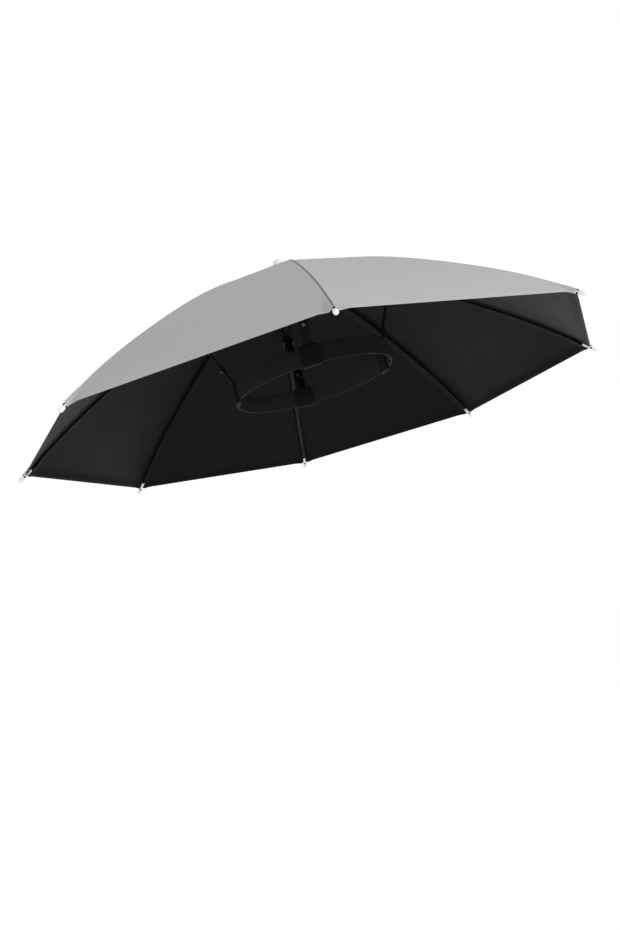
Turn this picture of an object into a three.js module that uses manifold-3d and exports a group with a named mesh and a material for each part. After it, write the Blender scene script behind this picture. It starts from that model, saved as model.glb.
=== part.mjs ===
// Umbrella hat: an eight-gore canopy on eight ribs, carried by an elastic headband on four hangers.
// Millimetres, +Z up. The origin is the centre of the headband, and the front is -Y.
import * as THREE from 'three';
import { mergeVertices } from 'three/addons/utils/BufferGeometryUtils.js';
import Module from 'manifold-3d';

const wasm = await Module();
wasm.setup();

// Driving dimensions

// The gap left between pieces that touch on the real hat.
const clear = 0.3;

// The canopy's outer surface. Its height along a seam is
// rise (1 - s^2)(1 + shoulder s^2 + flare s^4), with s the share of the corner radius.
const canopy = {
  gores: 8,
  cornerRadius: 325,
  rise: 158,
  shoulder: -0.462,
  flare: 0.436,
  wall: 1.2,
  apexHole: 6,
  sag: 2,
  rows: 13,
  columns: 4,
};

// The axis of the canopy stands behind the middle of the headband, and its rim below it.
const wear = { axisBehindBand: 7, bandAboveRim: 36 };

const ribSize = { width: 4.6, height: 3.2, grooveWidth: 2.4, grooveDepth: 1.9 };

// A ferrule's shank lies under the cloth as far as the corner, and its thicker head stands out past it.
const ferrule = {
  shankRadius: 1.8,
  headRadius: 2.4,
  length: 19,
  inside: 9.5,
  flare: 1.4,
  liftDegrees: 8,
  sides: 10,
};

const hub = { radius: 15, height: 9, boreRadius: 4, rimBevel: 1.5, sides: 24 };

const cap = {
  flangeRadius: 13,
  flangeHeight: 2,
  bodyRadius: 10.2,
  topRadius: 5.2,
  height: 21,
  coneHeight: 16,
  sides: 24,
};

const headband = { halfWidth: 76.2, halfLength: 95.1, height: 20, wall: 1.8, sides: 64 };

const slider = { width: 20, wall: 1.4, cornerRadius: 1.2 };

// A hanger is a slider's neck and a strut riveted together, from the headband up to a rib.
const hanger = {
  neckWidth: 10,
  neckThickness: 1.8,
  neckLength: 27,
  strutWidth: 9,
  strutThickness: 1.6,
  rivetBelowNeckEnd: 5,
  strutBelowRivet: 5.5,
  pivotRadius: 122,
  knuckleRadius: 2.7,
  pinRadius: 1.2,
  sides: 12,
  neckSteps: 3,
  strutSteps: 6,
};

const rivet = { radius: 1.4, headRadius: 2.6, crownRadius: 1.8, headHeight: 0.9, sides: 10 };

const clip = { length: 8, plate: 1.5, ear: 1.6, lip: 1.1, lipHeight: 2.4 };

// Finishes

const finish = {
  canopyCloth: { color: 0xb4b6b8, roughness: 0.55, metalness: 0.15 },
  ribSteel: { color: 0x17171a, roughness: 0.4, metalness: 0.5 },
  whitePlastic: { color: 0xebebe9, roughness: 0.35, metalness: 0 },
  blackPlastic: { color: 0x161618, roughness: 0.45, metalness: 0 },
  blackElastic: { color: 0x141415, roughness: 0.85, metalness: 0 },
  rivetSteel: { color: 0xc9ccd0, roughness: 0.25, metalness: 1 },
};

const hat = new THREE.Group();

const canopyGroup = new THREE.Group();
canopyGroup.position.set(0, wear.axisBehindBand, -wear.bandAboveRim);
hat.add(canopyGroup);

function piece(name, geometry, look, parent = hat) {
  const mesh = new THREE.Mesh(geometry, new THREE.MeshStandardMaterial(look));
  mesh.name = name;
  parent.add(mesh);
  return mesh;
}

// Shared shape helpers

// Moves each vertex of a closed geometry to the place that the function gives for it.
function remap(geometry, place) {
  const position = geometry.getAttribute('position');
  const point = new THREE.Vector3();
  for (let i = 0; i < position.count; i += 1) {
    point.fromBufferAttribute(position, i);
    const moved = place(point);
    position.setXYZ(i, moved.x, moved.y, moved.z);
  }
  geometry.computeVertexNormals();
  return geometry;
}

function toSolid(geometry) {
  const bare = new THREE.BufferGeometry();
  bare.setAttribute('position', geometry.getAttribute('position').clone());
  if (geometry.index) bare.setIndex(geometry.index.clone());
  const merged = mergeVertices(bare, 1e-4);
  return new wasm.Manifold(new wasm.Mesh({
    numProp: 3,
    vertProperties: new Float32Array(merged.getAttribute('position').array),
    triVerts: new Uint32Array(merged.index.array),
  }));
}

function toGeometry(solid) {
  const mesh = solid.getMesh();
  const geometry = new THREE.BufferGeometry();
  geometry.setAttribute('position', new THREE.BufferAttribute(new Float32Array(mesh.vertProperties), 3));
  geometry.setIndex(new THREE.BufferAttribute(new Uint32Array(mesh.triVerts), 1));
  geometry.computeVertexNormals();
  return geometry;
}

// A cylinder between two points.
function rod(from, to, radius, sides) {
  const along = to.clone().sub(from);
  const geometry = new THREE.CylinderGeometry(radius, radius, along.length(), sides);
  const cylinderAxis = new THREE.Vector3(0, 1, 0);
  geometry.applyQuaternion(new THREE.Quaternion().setFromUnitVectors(cylinderAxis, along.normalize()));
  geometry.translate(...from.clone().add(to).multiplyScalar(0.5).toArray());
  return geometry;
}

// A lathe profile given as rows of radius and height, turned about +Z.
function turned(rows, sides) {
  const profile = rows.map((row) => new THREE.Vector2(row.radius, row.height));
  const geometry = new THREE.LatheGeometry(profile, sides);
  geometry.rotateX(Math.PI / 2);
  return geometry;
}

// Puts a geometry made in a frame's own axes into place.
function inFrame(geometry, frame) {
  const matrix = new THREE.Matrix4().makeBasis(frame.x, frame.y, frame.z).setPosition(frame.origin);
  return geometry.applyMatrix4(matrix);
}

// The canopy's surface

const halfAngle = Math.PI / canopy.gores;

const up = new THREE.Vector3(0, 0, 1);

function seamHeight(radius) {
  const s = radius / canopy.cornerRadius;
  return canopy.rise * (1 - s ** 2) * (1 + canopy.shoulder * s ** 2 + canopy.flare * s ** 4);
}

function seamSlope(radius) {
  const step = 0.01;
  return (seamHeight(radius + step) - seamHeight(radius - step)) / (2 * step);
}

// Place, tangent and outward normal of a seam at a radius, in the upright plane of the rib.
function seamFrame(radius, azimuth) {
  const outward = new THREE.Vector3(Math.cos(azimuth), Math.sin(azimuth), 0);
  const slope = seamSlope(radius);
  const tangent = outward.clone().addScaledVector(up, slope).normalize();
  const normal = outward.clone().multiplyScalar(-slope).add(up).normalize();
  const across = new THREE.Vector3().crossVectors(normal, tangent);
  const point = outward.clone().multiplyScalar(radius).addScaledVector(up, seamHeight(radius));
  return { point, tangent, normal, across };
}

// The radii of the cross rows that the gores and the ribs share.
function rowRadius(row) {
  return canopy.apexHole + (canopy.cornerRadius - canopy.apexHole) * (row / canopy.rows);
}

// A point of a gore's outer surface: a straight chord between two seams, let down between them.
function gorePoint(azimuth, radius, share) {
  const right = seamFrame(radius, azimuth);
  const left = seamFrame(radius, azimuth + 2 * halfAngle);
  const s = radius / canopy.cornerRadius;
  const depth = canopy.sag * 4 * s * (1 - s) * 4 * share * (1 - share);
  const normal = right.normal.clone().lerp(left.normal, share).normalize();
  const point = right.point.clone().lerp(left.point, share).addScaledVector(normal, -depth);
  return { point, normal };
}

function goreGeometry(azimuth) {
  const box = new THREE.BoxGeometry(1, 1, 1, canopy.columns, canopy.rows, 1);
  return remap(box, (unit) => {
    const radius = rowRadius(canopy.rows * (0.5 - unit.y));
    const chord = 2 * radius * Math.sin(halfAngle);
    const margin = clear / 2 / (chord * Math.cos(halfAngle));
    const share = margin + (1 - 2 * margin) * (unit.x + 0.5);
    const { point, normal } = gorePoint(azimuth, radius, share);
    return unit.z > 0 ? point : point.addScaledVector(normal, -canopy.wall);
  });
}

// How far the ribs and ferrules keep below the seam: the wall, and the fall of the gores beside it.
const ridgeFall = (ribSize.width / 2) * Math.tan(halfAngle);

const ribTop = canopy.wall + clear + ridgeFall;

const ribMiddle = ribTop + ribSize.height / 2;

function ribSection() {
  const side = ribSize.width / 2;
  const top = ribSize.height / 2;
  const groove = ribSize.grooveWidth / 2;
  const shape = new THREE.Shape();
  shape.moveTo(-side, top);
  shape.lineTo(-side, -top);
  shape.lineTo(-groove, -top);
  shape.lineTo(-groove, ribSize.grooveDepth - top);
  shape.lineTo(groove, ribSize.grooveDepth - top);
  shape.lineTo(groove, -top);
  shape.lineTo(side, -top);
  shape.lineTo(side, top);
  shape.closePath();
  return shape;
}

const ferruleLift = THREE.MathUtils.degToRad(ferrule.liftDegrees);

// A rib ends where the lifted ferrule begins, so its last row is drawn back from the corner.
const ribEndGap = clear + ferrule.shankRadius * Math.sin(ferruleLift);

const ribEndRadius = canopy.cornerRadius
  - (ferrule.inside + ribEndGap) / Math.hypot(1, seamSlope(canopy.cornerRadius));

const ribStartRadius = hub.radius + clear;

function ribGeometry(azimuth) {
  const rows = [ribStartRadius];
  for (let row = 1; row < canopy.rows; row += 1) {
    const radius = rowRadius(row);
    if (radius > ribStartRadius && radius < ribEndRadius) rows.push(radius);
  }
  rows.push(ribEndRadius);
  const bar = new THREE.ExtrudeGeometry(ribSection(), {
    depth: rows.length - 1,
    steps: rows.length - 1,
    bevelEnabled: false,
  });
  return remap(bar, (unit) => {
    const frame = seamFrame(rows[Math.round(unit.z)], azimuth);
    return frame.point
      .addScaledVector(frame.normal, unit.y - ribMiddle)
      .addScaledVector(frame.across, unit.x);
  });
}

// A ferrule's axis starts as deep as its shank needs under the cloth, and rises a little outwards.
function ferruleGeometry(azimuth) {
  const { shankRadius, headRadius, length, inside, flare } = ferrule;
  const profile = [
    { radius: 0, height: 0 },
    { radius: shankRadius, height: 0 },
    { radius: shankRadius, height: inside + clear },
    { radius: headRadius, height: inside + clear + flare },
    { radius: headRadius, height: length - headRadius },
    { radius: headRadius * Math.SQRT1_2, height: length - headRadius * (1 - Math.SQRT1_2) },
    { radius: 0, height: length },
  ];
  const corner = seamFrame(canopy.cornerRadius, azimuth);
  const depth = canopy.wall + (shankRadius + clear) / Math.cos(halfAngle)
    + inside * Math.sin(ferruleLift);
  const origin = corner.point.clone()
    .addScaledVector(corner.tangent, -inside)
    .addScaledVector(corner.normal, -depth);
  return inFrame(turned(profile, ferrule.sides), {
    x: corner.across,
    y: corner.normal.clone().applyAxisAngle(corner.across, -ferruleLift),
    z: corner.tangent.clone().applyAxisAngle(corner.across, -ferruleLift),
    origin,
  });
}

// The crown: a hub under the apex, and a cap whose stud comes down through the cloth

const hubTop = seamHeight(hub.radius) - canopy.wall - clear - ridgeFall;

function hubGeometry() {
  const { radius, height, boreRadius, rimBevel } = hub;
  return turned([
    { radius: boreRadius, height: hubTop - height },
    { radius: radius - rimBevel, height: hubTop - height },
    { radius, height: hubTop - height + rimBevel },
    { radius, height: hubTop },
    { radius: boreRadius, height: hubTop },
    { radius: boreRadius, height: hubTop - height },
  ], hub.sides);
}

function capGeometry() {
  const base = canopy.rise + clear;
  const studRadius = canopy.apexHole - 2 * clear;
  const pinRadius = hub.boreRadius - clear;
  return turned([
    { radius: 0, height: hubTop - hub.height },
    { radius: pinRadius, height: hubTop - hub.height },
    { radius: pinRadius, height: hubTop + clear },
    { radius: studRadius, height: hubTop + clear },
    { radius: studRadius, height: base },
    { radius: cap.flangeRadius, height: base },
    { radius: cap.flangeRadius, height: base + cap.flangeHeight },
    { radius: cap.bodyRadius, height: base + 2 * cap.flangeHeight },
    { radius: cap.bodyRadius, height: base + cap.height - cap.coneHeight },
    { radius: cap.topRadius, height: base + cap.height },
    { radius: 0, height: base + cap.height },
  ], cap.sides);
}

// The headband

function headbandGeometry() {
  const { halfWidth, halfLength, height, wall } = headband;
  const ring = new THREE.Shape();
  ring.absellipse(0, 0, halfWidth + wall, halfLength + wall, 0, 2 * Math.PI, false, 0);
  const hollow = new THREE.Path();
  hollow.absellipse(0, 0, halfWidth, halfLength, 0, 2 * Math.PI, false, 0);
  ring.holes.push(hollow);
  const band = new THREE.ExtrudeGeometry(ring, {
    depth: height,
    steps: 1,
    curveSegments: headband.sides / 2,
    bevelEnabled: false,
  });
  band.translate(0, 0, -height / 2);
  return band;
}

// Where the upright plane of a rib meets the middle of the band, with the band's own directions.
function bandFrame(azimuth) {
  const halfX = headband.halfWidth + headband.wall / 2;
  const halfY = headband.halfLength + headband.wall / 2;
  const start = wear.axisBehindBand;
  const a = (Math.cos(azimuth) / halfX) ** 2 + (Math.sin(azimuth) / halfY) ** 2;
  const b = (2 * start * Math.sin(azimuth)) / halfY ** 2;
  const c = (start / halfY) ** 2 - 1;
  const reach = (-b + Math.sqrt(b * b - 4 * a * c)) / (2 * a);
  const origin = new THREE.Vector3(reach * Math.cos(azimuth), start + reach * Math.sin(azimuth), 0);
  const outward = new THREE.Vector3(origin.x / halfX ** 2, origin.y / halfY ** 2, 0).normalize();
  const turn = Math.hypot((origin.y * halfX) / halfY, (origin.x * halfY) / halfX);
  const bendRadius = turn ** 3 / (halfX * halfY);
  return { origin, outward, along: new THREE.Vector3().crossVectors(up, outward), bendRadius };
}

// Sliders and struts

// The two ends of a hanger and the directions across it: the band's at the foot, the rib's at the pivot.
function hangerFrame(azimuth) {
  const band = bandFrame(azimuth);
  const bow = slider.width ** 2 / (8 * band.bendRadius);
  const slotIn = headband.wall / 2 + bow + clear;
  const slotOut = headband.wall / 2 + clear;
  const loopTop = headband.height / 2 + clear + slider.wall;
  const foot = band.origin.clone()
    .addScaledVector(band.outward, (slotOut - slotIn) / 2)
    .addScaledVector(up, loopTop - slider.wall / 2);
  const rib = seamFrame(hanger.pivotRadius, azimuth);
  const drop = ribMiddle + ribSize.height / 2 + clear + clip.plate + clear + hanger.knuckleRadius;
  const pivot = rib.point.clone().addScaledVector(rib.normal, -drop).add(canopyGroup.position);
  return { band, slotIn, slotOut, loopTop, foot, rib, pivot, across: rib.across };
}

// A point of the strap between foot and pivot: distance along it, and offsets across and through it.
function strapPoint(frame, distance, acrossBy, throughBy) {
  const run = frame.pivot.clone().sub(frame.foot);
  const along = run.clone().normalize();
  const share = Math.min(1, Math.max(0, distance / run.length()));
  const across = frame.band.along.clone().lerp(frame.across, share);
  across.addScaledVector(along, -across.dot(along)).normalize();
  const through = new THREE.Vector3().crossVectors(across, along);
  return frame.foot.clone()
    .addScaledVector(along, distance)
    .addScaledVector(across, acrossBy)
    .addScaledVector(through, throughBy);
}

// A flat strip along the strap, from one distance to another, its middle set off by the offset.
function stripGeometry(frame, from, to, width, thickness, offset, steps) {
  const box = new THREE.BoxGeometry(1, 1, 1, 1, steps, 1);
  return remap(box, (unit) => strapPoint(
    frame,
    from + (to - from) * (unit.y + 0.5),
    unit.x * width,
    offset + unit.z * thickness,
  ));
}

// How far the strut's middle lies inside the neck's.
const strutOffset = -(hanger.neckThickness / 2 + clear + hanger.strutThickness / 2);

const rivetDistance = hanger.neckLength - hanger.rivetBelowNeckEnd;

function rivetHole(frame) {
  const reach = hanger.neckThickness + hanger.strutThickness + clear;
  return rod(
    strapPoint(frame, rivetDistance, 0, -reach),
    strapPoint(frame, rivetDistance, 0, reach),
    rivet.radius + clear,
    rivet.sides,
  );
}

function sliderGeometry(frame) {
  const halfHeight = frame.loopTop;
  const outer = new THREE.Shape();
  const inside = -(frame.slotIn + slider.wall);
  const outside = frame.slotOut + slider.wall;
  const round = slider.cornerRadius;
  outer.moveTo(inside + round, -halfHeight);
  outer.lineTo(outside - round, -halfHeight);
  outer.lineTo(outside, round - halfHeight);
  outer.lineTo(outside, halfHeight - round);
  outer.lineTo(outside - round, halfHeight);
  outer.lineTo(inside + round, halfHeight);
  outer.lineTo(inside, halfHeight - round);
  outer.lineTo(inside, round - halfHeight);
  outer.closePath();
  const slot = new THREE.Path();
  const slotHeight = halfHeight - slider.wall;
  slot.moveTo(-frame.slotIn, -slotHeight);
  slot.lineTo(-frame.slotIn, slotHeight);
  slot.lineTo(frame.slotOut, slotHeight);
  slot.lineTo(frame.slotOut, -slotHeight);
  slot.closePath();
  outer.holes.push(slot);
  const loop = new THREE.ExtrudeGeometry(outer, { depth: slider.width, steps: 1, bevelEnabled: false });
  loop.translate(0, 0, -slider.width / 2);
  inFrame(loop, {
    x: frame.band.outward,
    y: up,
    z: new THREE.Vector3().crossVectors(frame.band.outward, up),
    origin: frame.band.origin,
  });
  const { neckLength, neckWidth, neckThickness, neckSteps } = hanger;
  const neck = stripGeometry(frame, 0, neckLength, neckWidth, neckThickness, 0, neckSteps);
  return toGeometry(toSolid(loop).add(toSolid(neck)).subtract(toSolid(rivetHole(frame))));
}

function strutGeometry(frame) {
  const length = frame.pivot.distanceTo(frame.foot);
  const from = rivetDistance - hanger.strutBelowRivet;
  const { strutWidth, strutThickness, strutSteps } = hanger;
  const strip = stripGeometry(frame, from, length, strutWidth, strutThickness, strutOffset, strutSteps);
  const across = (reach, radius) => rod(
    frame.pivot.clone().addScaledVector(frame.across, -reach),
    frame.pivot.clone().addScaledVector(frame.across, reach),
    radius,
    hanger.sides,
  );
  const knuckle = across(strutWidth / 2, hanger.knuckleRadius);
  const bore = across(strutWidth, hanger.pinRadius + clear);
  const strut = toSolid(strip).add(toSolid(knuckle));
  return toGeometry(strut.subtract(toSolid(bore)).subtract(toSolid(rivetHole(frame))));
}

function rivetGeometry(frame) {
  const inner = strutOffset - hanger.strutThickness / 2 - clear;
  const outer = hanger.neckThickness / 2 + clear;
  const { radius, headRadius, crownRadius, headHeight } = rivet;
  const profile = [
    { radius: 0, height: inner - headHeight },
    { radius: crownRadius, height: inner - headHeight },
    { radius: headRadius, height: inner },
    { radius, height: inner },
    { radius, height: outer },
    { radius: headRadius, height: outer },
    { radius: crownRadius, height: outer + headHeight },
    { radius: 0, height: outer + headHeight },
  ];
  const origin = strapPoint(frame, rivetDistance, 0, 0);
  const x = strapPoint(frame, rivetDistance, 1, 0).sub(origin);
  const z = strapPoint(frame, rivetDistance, 0, 1).sub(origin);
  return inFrame(turned(profile, rivet.sides), { x, y: new THREE.Vector3().crossVectors(z, x), z, origin });
}

// A saddle on the rib: lips up beside it, a plate under it, and two ears that carry the pin.
function clipGeometry(frame) {
  const earIn = hanger.strutWidth / 2 + clear;
  const earOut = earIn + clip.ear;
  const lipIn = ribSize.width / 2 + clear;
  const lipOut = lipIn + clip.lip;
  const plateTop = -(ribSize.height / 2 + clear);
  const plateUnder = plateTop - clip.plate;
  const pinHeight = plateUnder - clear - hanger.knuckleRadius;
  const earEnd = pinHeight - hanger.knuckleRadius;
  const lipEnd = plateTop + clip.lipHeight;
  const shape = new THREE.Shape();
  shape.moveTo(lipIn, plateTop);
  shape.lineTo(lipIn, lipEnd);
  shape.lineTo(lipOut, lipEnd);
  shape.lineTo(lipOut, plateTop);
  shape.lineTo(earOut, plateTop - clip.lip);
  shape.lineTo(earOut, earEnd);
  shape.lineTo(earIn, earEnd);
  shape.lineTo(earIn, plateUnder);
  shape.lineTo(-earIn, plateUnder);
  shape.lineTo(-earIn, earEnd);
  shape.lineTo(-earOut, earEnd);
  shape.lineTo(-earOut, plateTop - clip.lip);
  shape.lineTo(-lipOut, plateTop);
  shape.lineTo(-lipOut, lipEnd);
  shape.lineTo(-lipIn, lipEnd);
  shape.lineTo(-lipIn, plateTop);
  shape.closePath();
  const saddle = new THREE.ExtrudeGeometry(shape, { depth: clip.length, steps: 1, bevelEnabled: false });
  saddle.translate(0, 0, -clip.length / 2);
  const pin = rod(
    new THREE.Vector3(-earIn - clip.ear / 2, pinHeight, 0),
    new THREE.Vector3(earIn + clip.ear / 2, pinHeight, 0),
    hanger.pinRadius,
    hanger.sides,
  );
  const geometry = toGeometry(toSolid(saddle).add(toSolid(pin)));
  const { rib } = frame;
  const origin = rib.point.clone().addScaledVector(rib.normal, -ribMiddle).add(canopyGroup.position);
  return inFrame(geometry, {
    x: rib.across,
    y: rib.normal,
    z: rib.tangent,
    origin,
  });
}

// Assembly

// Ribs stand every eighth of a turn, one of them over the front of the headband.
const front = -Math.PI / 2;

for (let i = 0; i < canopy.gores; i += 1) {
  const azimuth = front + 2 * halfAngle * i;
  piece(`gore_${i + 1}`, goreGeometry(azimuth), finish.canopyCloth, canopyGroup);
  piece(`rib_${i + 1}`, ribGeometry(azimuth), finish.ribSteel, canopyGroup);
  piece(`ferrule_${i + 1}`, ferruleGeometry(azimuth), finish.whitePlastic, canopyGroup);
}

piece('hub', hubGeometry(), finish.blackPlastic, canopyGroup);
piece('top_cap', capGeometry(), finish.whitePlastic, canopyGroup);
piece('headband', headbandGeometry(), finish.blackElastic);

// A hanger comes down from every other rib, between front and side.
const hangerCount = canopy.gores / 2;

for (let i = 0; i < hangerCount; i += 1) {
  const frame = hangerFrame(front + 2 * halfAngle * (2 * i + 1));
  piece(`slider_${i + 1}`, sliderGeometry(frame), finish.blackPlastic);
  piece(`strut_${i + 1}`, strutGeometry(frame), finish.blackPlastic);
  piece(`rivet_${i + 1}`, rivetGeometry(frame), finish.rivetSteel);
  piece(`rib_clip_${i + 1}`, clipGeometry(frame), finish.ribSteel);
}

export default hat;
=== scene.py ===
"""Umbrella hat: the looks of its cloth, ribs, tips, knob, headband and hangers, in metres.

The frame gives the place of every hard piece. The canopy is sewn here as one sheet over the solids' seams,
and the elastic, ribs, tips and knob are made anew in the places that the frame holds.
"""

from __future__ import annotations

import logging
import math
from collections.abc import Mapping, Sequence
from dataclasses import dataclass
from enum import Enum

import bmesh
import bpy
from mathutils import Matrix, Vector, noise

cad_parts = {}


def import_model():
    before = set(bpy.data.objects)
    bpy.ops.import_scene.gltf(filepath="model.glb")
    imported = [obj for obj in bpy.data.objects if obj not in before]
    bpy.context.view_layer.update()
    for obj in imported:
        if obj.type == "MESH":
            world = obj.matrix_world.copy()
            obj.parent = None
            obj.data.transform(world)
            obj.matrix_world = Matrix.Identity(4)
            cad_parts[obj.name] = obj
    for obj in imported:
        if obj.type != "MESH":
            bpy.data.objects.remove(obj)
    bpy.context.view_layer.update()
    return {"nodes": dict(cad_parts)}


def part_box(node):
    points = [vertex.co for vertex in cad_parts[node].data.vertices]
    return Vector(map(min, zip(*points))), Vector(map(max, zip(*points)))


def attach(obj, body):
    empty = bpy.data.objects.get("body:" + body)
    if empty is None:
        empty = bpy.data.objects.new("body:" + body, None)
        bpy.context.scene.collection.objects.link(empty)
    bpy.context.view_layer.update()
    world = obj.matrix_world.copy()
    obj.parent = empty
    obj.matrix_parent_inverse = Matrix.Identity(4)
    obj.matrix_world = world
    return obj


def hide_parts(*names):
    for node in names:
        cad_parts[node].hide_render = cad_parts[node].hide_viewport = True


log = logging.getLogger("umbrella_hat")

MM = 0.001
ROOT = "root"
# Points nearer than this are one.
MERGE = 0.001 * MM
# The sharp angle of a piece whose edges are all smooth.
ALL_SMOOTH = 180.0


class Slot(Enum):
    """The hat's material slots."""

    CANOPY = "canopy_cloth"
    RIB = "rib_steel"
    WHITE = "white_plastic"
    BLACK = "black_plastic"
    ELASTIC = "black_elastic"
    RIVET = "rivet_steel"


class Side(Enum):
    """The two faces of the cloth, with the material index of each."""

    OUTSIDE = 0
    INSIDE = 1


# Shader maths


@dataclass(frozen=True)
class Wire:
    """A shader socket that can stand in a sum as a number does."""

    recipe: Recipe
    socket: bpy.types.NodeSocket

    def __add__(self, other: Value) -> Wire:
        """The sum."""
        return self.recipe.math("ADD", self, other)

    def __radd__(self, other: Value) -> Wire:
        """The sum, with a number first."""
        return self.recipe.math("ADD", other, self)

    def __sub__(self, other: Value) -> Wire:
        """The difference."""
        return self.recipe.math("SUBTRACT", self, other)

    def __rsub__(self, other: Value) -> Wire:
        """The difference, with a number first."""
        return self.recipe.math("SUBTRACT", other, self)

    def __mul__(self, other: Value) -> Wire:
        """The product."""
        return self.recipe.math("MULTIPLY", self, other)

    def __rmul__(self, other: Value) -> Wire:
        """The product, with a number first."""
        return self.recipe.math("MULTIPLY", other, self)

    def __abs__(self) -> Wire:
        """The size without the sign."""
        return self.recipe.math("ABSOLUTE", self)

    def cosine(self) -> Wire:
        """The cosine of an angle in radians."""
        return self.recipe.math("COSINE", self)

    def larger(self, other: Value) -> Wire:
        """The larger of the two."""
        return self.recipe.math("MAXIMUM", self, other)


Value = Wire | float


class Recipe:
    """A material that is being made: its shader, and the one method that adds any other node."""

    def __init__(self, name: str, constants: Mapping[str, object]) -> None:
        """Starts a material on a Principled shader.

        Args:
            name: The material's name.
            constants: The shader's sockets that are the same all over the surface.
        """
        self.material = bpy.data.materials.new(name)
        self.material.use_nodes = True
        self.tree = self.material.node_tree
        self.tree.nodes.clear()
        self.shader = self.tree.nodes.new("ShaderNodeBsdfPrincipled")
        output = self.tree.nodes.new("ShaderNodeOutputMaterial")
        self.tree.links.new(self.shader.outputs["BSDF"], output.inputs["Surface"])
        for socket, value in constants.items():
            self.shader.inputs[socket].default_value = value

    def node(
        self,
        kind: str,
        settings: Mapping[str, object] | None = None,
        inputs: Mapping[str | int, object] | None = None,
        output: str | int = 0,
    ) -> Wire:
        """Adds one node.

        Args:
            kind: The node's type.
            settings: The node's own properties, set before its sockets.
            inputs: A value or a wire for each socket that is used, by identifier, name or index.
            output: The socket that the wire starts from.

        Returns:
            A wire from that output.
        """
        made = self.tree.nodes.new(kind)
        for name, value in (settings or {}).items():
            setattr(made, name, value)
        for key, value in (inputs or {}).items():
            socket = self._socket(made.inputs, key)
            if isinstance(value, Wire):
                self.tree.links.new(value.socket, socket)
            else:
                socket.default_value = value
        return Wire(self, self._socket(made.outputs, output))

    @staticmethod
    def _socket(sockets: bpy.types.bpy_prop_collection, key: str | int) -> bpy.types.NodeSocket:
        """The socket with that identifier, name or index."""
        if isinstance(key, int):
            return sockets[key]
        named = [s for s in sockets if s.identifier == key]
        return named[0] if named else sockets[key]

    def math(self, operation: str, *values: Value) -> Wire:
        """A Math node on one, two or three values."""
        return self.node("ShaderNodeMath", {"operation": operation}, dict(enumerate(values)))

    def step(self, value: Wire, low: float, high: float) -> Wire:
        """A smooth step that is 0 below low and 1 above high, or the other way round if low is the higher."""
        return self.node(
            "ShaderNodeMapRange",
            {"interpolation_type": "SMOOTHSTEP"},
            {"Value": value, "From Min": low, "From Max": high},
        )

    def mix(self, share: Value, first: object, second: object) -> Wire:
        """A colour between two colours."""
        return self.node(
            "ShaderNodeMix",
            {"data_type": "RGBA"},
            {"Factor_Float": share, "A_Color": first, "B_Color": second},
            "Result_Color",
        )

    def object_noise(self, grain: float, detail: float = 2.0, stretch: Sequence[float] = (1, 1, 1)) -> Wire:
        """Noise from 0 to 1 on the object's own coordinates.

        Args:
            grain: The size of one grain in metres.
            detail: How many finer layers it has.
            stretch: How much longer a grain is along each axis.

        Returns:
            The noise.
        """
        place = self.node("ShaderNodeTexCoord", output="Object")
        scale = tuple(1 / (grain * s) for s in stretch)
        spread = self.node("ShaderNodeMapping", inputs={"Vector": place, "Scale": scale})
        inputs = {"Vector": spread, "Scale": 1.0, "Detail": detail}
        return self.node("ShaderNodeTexNoise", inputs=inputs)

    def surface(self, name: str) -> tuple[Wire, Wire]:
        """The two coordinates of a UV map, which are metres on the surface."""
        both = self.node("ShaderNodeUVMap", {"uv_map": name})
        parts = [self.node("ShaderNodeSeparateXYZ", inputs={"Vector": both}, output=axis) for axis in "XY"]
        return parts[0], parts[1]

    def weave(self, across: Wire, along: Wire, pitch_across: float, pitch_along: float) -> Wire:
        """The height of a plain weave, from about 0 to 1.

        Args:
            across: Metres across the threads that run along.
            along: Metres along them.
            pitch_across: The distance between those threads.
            pitch_along: The distance between the threads that cross them.

        Returns:
            The height, where each thread goes over and under the ones that cross it.
        """
        first = (across * (math.pi / pitch_across)).cosine()
        second = (along * (math.pi / pitch_along)).cosine()
        over = first * second * 0.4
        return (abs(first) * (0.6 + over)).larger(abs(second) * (0.6 - over))

    def feed(self, socket: str, wire: Wire) -> None:
        """Links a wire to one of the shader's sockets."""
        self.tree.links.new(wire.socket, self.shader.inputs[socket])

    def relief(self, height: Wire) -> None:
        """Gives the surface a bump whose height is in metres."""
        inputs = {"Distance": 1.0, "Height": height}
        self.feed("Normal", self.node("ShaderNodeBump", inputs=inputs, output="Normal"))


# Finishes


def grey(level: float, warmth: float = 0.0) -> tuple[float, float, float, float]:
    """A linear grey, a little warmer or cooler."""
    return (level * (1 + warmth), level, level * (1 - warmth), 1.0)


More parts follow.
